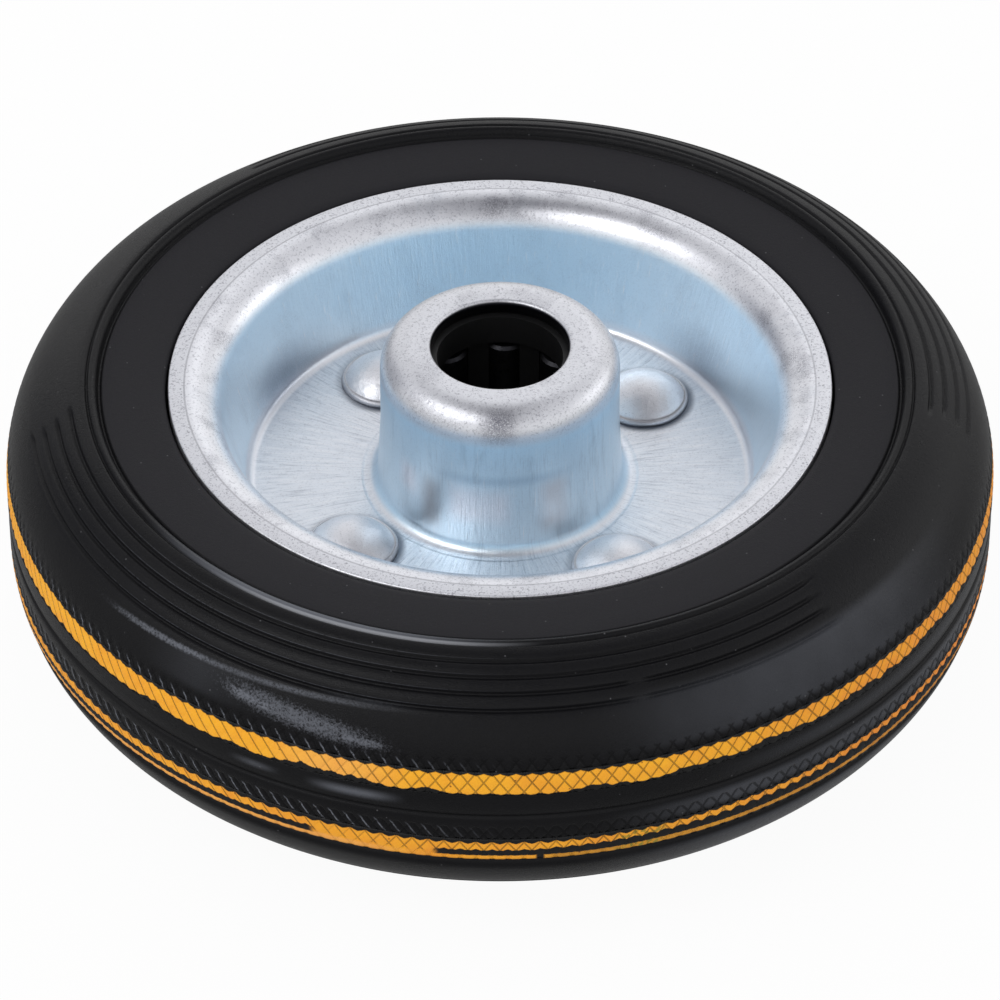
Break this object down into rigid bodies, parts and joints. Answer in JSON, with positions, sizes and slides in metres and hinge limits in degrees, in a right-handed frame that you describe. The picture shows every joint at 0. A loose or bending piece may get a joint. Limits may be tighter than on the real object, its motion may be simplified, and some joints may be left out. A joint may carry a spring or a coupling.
{
  "type": "rubber trolley wheel",
  "caption": "Trolley wheel with a black rubber tyre and inlaid yellow rings, a riveted pressed-steel rim and a caged roller bearing.",
  "frame": {"origin": "the wheel's centre, on the axle's line in the middle plane of the tyre", "axes": "+Z along the axle; the wheel lies on its side and stands on the lower end of its hub"},
  "size_m": [0.1, 0.1, 0.036],
  "materials": {
    "tyre_rubber": "moulded rubber, matt side ring and satin shoulder",
    "yellow_rubber": "knurled satin rubber",
    "zinc_sheet": "bright zinc plate with a blue passivation",
    "rivet_steel": "plain grey, upset in the press",
    "cage_plastic": "moulded black plastic",
    "roller_steel": "ground steel, greased"
  },
  "bodies": {
    "wheel": {"tyre": "tyre_rubber", "yellow_ring_upper": "yellow_rubber", "yellow_ring_lower": "yellow_rubber", "rim_half_upper": "zinc_sheet", "rim_half_lower": "zinc_sheet", "rivet_1": "rivet_steel", "rivet_2": "rivet_steel", "rivet_3": "rivet_steel", "rivet_4": "rivet_steel"},
    "cage": {"roller_cage": "cage_plastic"},
    "roller_1": {"roller_1": "roller_steel"},
    "roller_2": {"roller_2": "roller_steel"},
    "roller_3": {"roller_3": "roller_steel"},
    "roller_4": {"roller_4": "roller_steel"},
    "roller_5": {"roller_5": "roller_steel"},
    "roller_6": {"roller_6": "roller_steel"},
    "roller_7": {"roller_7": "roller_steel"},
    "roller_8": {"roller_8": "roller_steel"}
  },
  "joints": [
    {"name": "cage_spin", "type": "hinge", "parent": "wheel", "child": "cage", "pos_m": [0, 0, 0], "axis": [0, 0, 1], "continuous": true},
    {"name": "roller_1_spin", "type": "hinge", "parent": "cage", "child": "roller_1", "pos_m": [0.00053, 0.00838, 0], "axis": [0, 0, 1], "continuous": true},
    {"name": "roller_2_spin", "type": "hinge", "parent": "cage", "child": "roller_2", "pos_m": [0.0063, 0.00556, 0], "axis": [0, 0, 1], "continuous": true},
    {"name": "roller_3_spin", "type": "hinge", "parent": "cage", "child": "roller_3", "pos_m": [0.00838, -0.00053, 0], "axis": [0, 0, 1], "continuous": true},
    {"name": "roller_4_spin", "type": "hinge", "parent": "cage", "child": "roller_4", "pos_m": [0.00556, -0.0063, 0], "axis": [0, 0, 1], "continuous": true},
    {"name": "roller_5_spin", "type": "hinge", "parent": "cage", "child": "roller_5", "pos_m": [-0.00053, -0.00838, 0], "axis": [0, 0, 1], "continuous": true},
    {"name": "roller_6_spin", "type": "hinge", "parent": "cage", "child": "roller_6", "pos_m": [-0.0063, -0.00556, 0], "axis": [0, 0, 1], "continuous": true},
    {"name": "roller_7_spin", "type": "hinge", "parent": "cage", "child": "roller_7", "pos_m": [-0.00838, 0.00053, 0], "axis": [0, 0, 1], "continuous": true},
    {"name": "roller_8_spin", "type": "hinge", "parent": "cage", "child": "roller_8", "pos_m": [-0.00556, 0.0063, 0], "axis": [0, 0, 1], "continuous": true}
  ],
  "couplings": [
    {"joint": "roller_1_spin", "follows": "cage_spin", "ratio": -4.7556},
    {"joint": "roller_2_spin", "follows": "cage_spin", "ratio": -4.7556},
    {"joint": "roller_3_spin", "follows": "cage_spin", "ratio": -4.7556},
    {"joint": "roller_4_spin", "follows": "cage_spin", "ratio": -4.7556},
    {"joint": "roller_5_spin", "follows": "cage_spin", "ratio": -4.7556},
    {"joint": "roller_6_spin", "follows": "cage_spin", "ratio": -4.7556},
    {"joint": "roller_7_spin", "follows": "cage_spin", "ratio": -4.7556},
    {"joint": "roller_8_spin", "follows": "cage_spin", "ratio": -4.7556}
  ]
}
